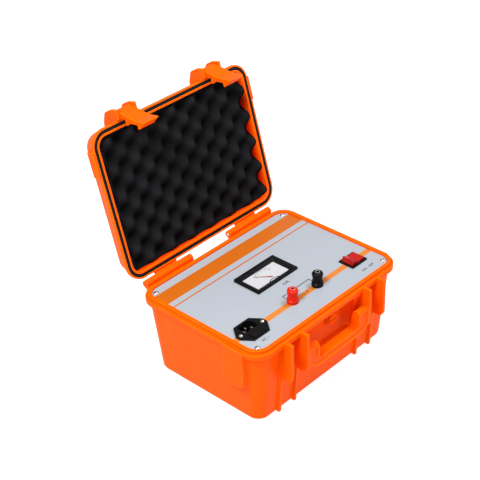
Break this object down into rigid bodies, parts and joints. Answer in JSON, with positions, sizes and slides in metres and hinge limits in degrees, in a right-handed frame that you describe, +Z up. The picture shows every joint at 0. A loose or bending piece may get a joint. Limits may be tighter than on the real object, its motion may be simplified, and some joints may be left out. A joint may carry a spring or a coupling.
{
  "type": "portable cable locator signal source",
  "caption": "Mains-powered cable locator source: meter panel with inlet, binding posts and rocker switch in a hinged case with latches and a carrying handle.",
  "frame": {"origin": "centre of the case's underside, on the surface that it stands on", "axes": "+X right along the handle side, +Y from the handle side to the hinges, +Z up"},
  "size_m": [0.2938, 0.3187, 0.349],
  "materials": {
    "shell_orange": "injection moulded, satin gloss",
    "panel_grey": "pale blue-grey film on sheet",
    "black_plastic": "moulded, low gloss",
    "red_plastic": "glossy moulding",
    "bright_metal": "plated steel",
    "nickel": "bright nickel",
    "brass": "tinned brass",
    "clear": "clear window",
    "dial_white": "printed dial",
    "magnet": "magnet block",
    "needle": "painted needle",
    "seal_rubber": "soft seal",
    "foam": "open-cell egg-crate foam",
    "board_green": "glass-fibre board",
    "sleeve_blue": "sleeved can",
    "relay_blue": "relay case",
    "alloy": "extruded",
    "core_steel": "varnished laminations",
    "tape_yellow": "taped winding",
    "rocker_red": "translucent rocker"
  },
  "bodies": {
    "base": {"base_shell": "shell_orange", "face_plate": "panel_grey", "panel_screws": "bright_metal", "hinge_pins": "bright_metal", "handle_pins": "bright_metal", "valve_body": "shell_orange", "valve_seal": "seal_rubber", "meter_housing": "black_plastic", "meter_dial": "dial_white", "meter_shield": "dial_white", "meter_glass": "clear", "meter_movement": "magnet", "meter_nuts": "bright_metal", "inlet_body": "black_plastic", "inlet_pins": "nickel", "inlet_screws": "bright_metal", "switch_frame": "black_plastic", "switch_terminals": "brass", "red_base": "red_plastic", "red_stud": "nickel", "red_nuts": "nickel", "black_base": "black_plastic", "black_stud": "nickel", "black_nuts": "nickel", "circuit_board": "board_green", "board_pillars": "bright_metal", "capacitors": "sleeve_blue", "power_relay": "relay_blue", "heat_sink": "alloy", "transformer_core": "core_steel", "transformer_winding": "tape_yellow", "transformer_clamp": "bright_metal"},
    "lid": {"lid_shell": "shell_orange", "lid_seal": "seal_rubber", "lid_foam": "foam", "latch_pins": "bright_metal"},
    "handle": {"handle": "shell_orange"},
    "latch_left": {"latch_left": "shell_orange"},
    "latch_right": {"latch_right": "shell_orange"},
    "rocker": {"switch_rocker": "rocker_red"},
    "fuse_drawer": {"fuse_drawer": "black_plastic", "fuse": "nickel"},
    "needle": {"meter_needle": "needle"},
    "valve_knob": {"valve_knob": "shell_orange"},
    "red_washer": {"red_washer": "nickel"},
    "red_cap": {"red_cap": "red_plastic"},
    "black_washer": {"black_washer": "nickel"},
    "black_cap": {"black_cap": "black_plastic"}
  },
  "joints": [
    {"name": "lid_hinge", "type": "hinge", "parent": "base", "child": "lid", "pos_m": [0, 0.114, 0.1215], "axis": [1, 0, 0], "range_deg": [0, 105.3], "deforming": ["lid_foam"]},
    {"name": "latch_left_turn", "type": "hinge", "parent": "lid", "child": "latch_left", "pos_m": [-0.0785, 0.17952, 0.34016], "axis": [-1, 0, 0], "range_deg": [0, 100]},
    {"name": "latch_right_turn", "type": "hinge", "parent": "lid", "child": "latch_right", "pos_m": [0.0785, 0.17952, 0.34016], "axis": [-1, 0, 0], "range_deg": [0, 100]},
    {"name": "handle_swing", "type": "hinge", "parent": "base", "child": "handle", "pos_m": [0, -0.113, 0.087], "axis": [-1, 0, 0], "range_deg": [0, 115]},
    {"name": "power_rocker", "type": "hinge", "parent": "base", "child": "rocker", "pos_m": [0.1, -0.0595, 0.121], "axis": [0, -1, 0], "range_deg": [0, 22]},
    {"name": "fuse_drawer_slide", "type": "slide", "parent": "base", "child": "fuse_drawer", "axis": [0, 0, 1], "range_m": [0, 0.02]},
    {"name": "needle_turn", "type": "hinge", "parent": "base", "child": "needle", "pos_m": [-0.002, -0.0007, 0.122], "axis": [0, 0, -1], "range_deg": [0, 90], "stiffness_Nm_per_rad": 0.00005},
    {"name": "valve_knob_turn", "type": "hinge", "parent": "base", "child": "valve_knob", "pos_m": [0.01632, -0.09, 0.0864], "axis": [0, -1, 0], "range_deg": [0, 180]},
    {"name": "red_lift", "type": "slide", "parent": "base", "child": "red_washer", "axis": [0, 0, 1], "range_m": [0, 0.003]},
    {"name": "red_turn", "type": "hinge", "parent": "red_washer", "child": "red_cap", "pos_m": [-0.025, -0.0595, 0.13], "axis": [0, 0, 1], "range_deg": [0, 1080]},
    {"name": "black_lift", "type": "slide", "parent": "base", "child": "black_washer", "axis": [0, 0, 1], "range_m": [0, 0.003]},
    {"name": "black_turn", "type": "hinge", "parent": "black_washer", "child": "black_cap", "pos_m": [0.025, -0.0595, 0.13], "axis": [0, 0, 1], "range_deg": [0, 1080]}
  ],
  "couplings": [
    {"joint": "red_turn", "follows": "red_lift", "rad_per_m": 6283.2},
    {"joint": "black_turn", "follows": "black_lift", "rad_per_m": 6283.2}
  ]
}
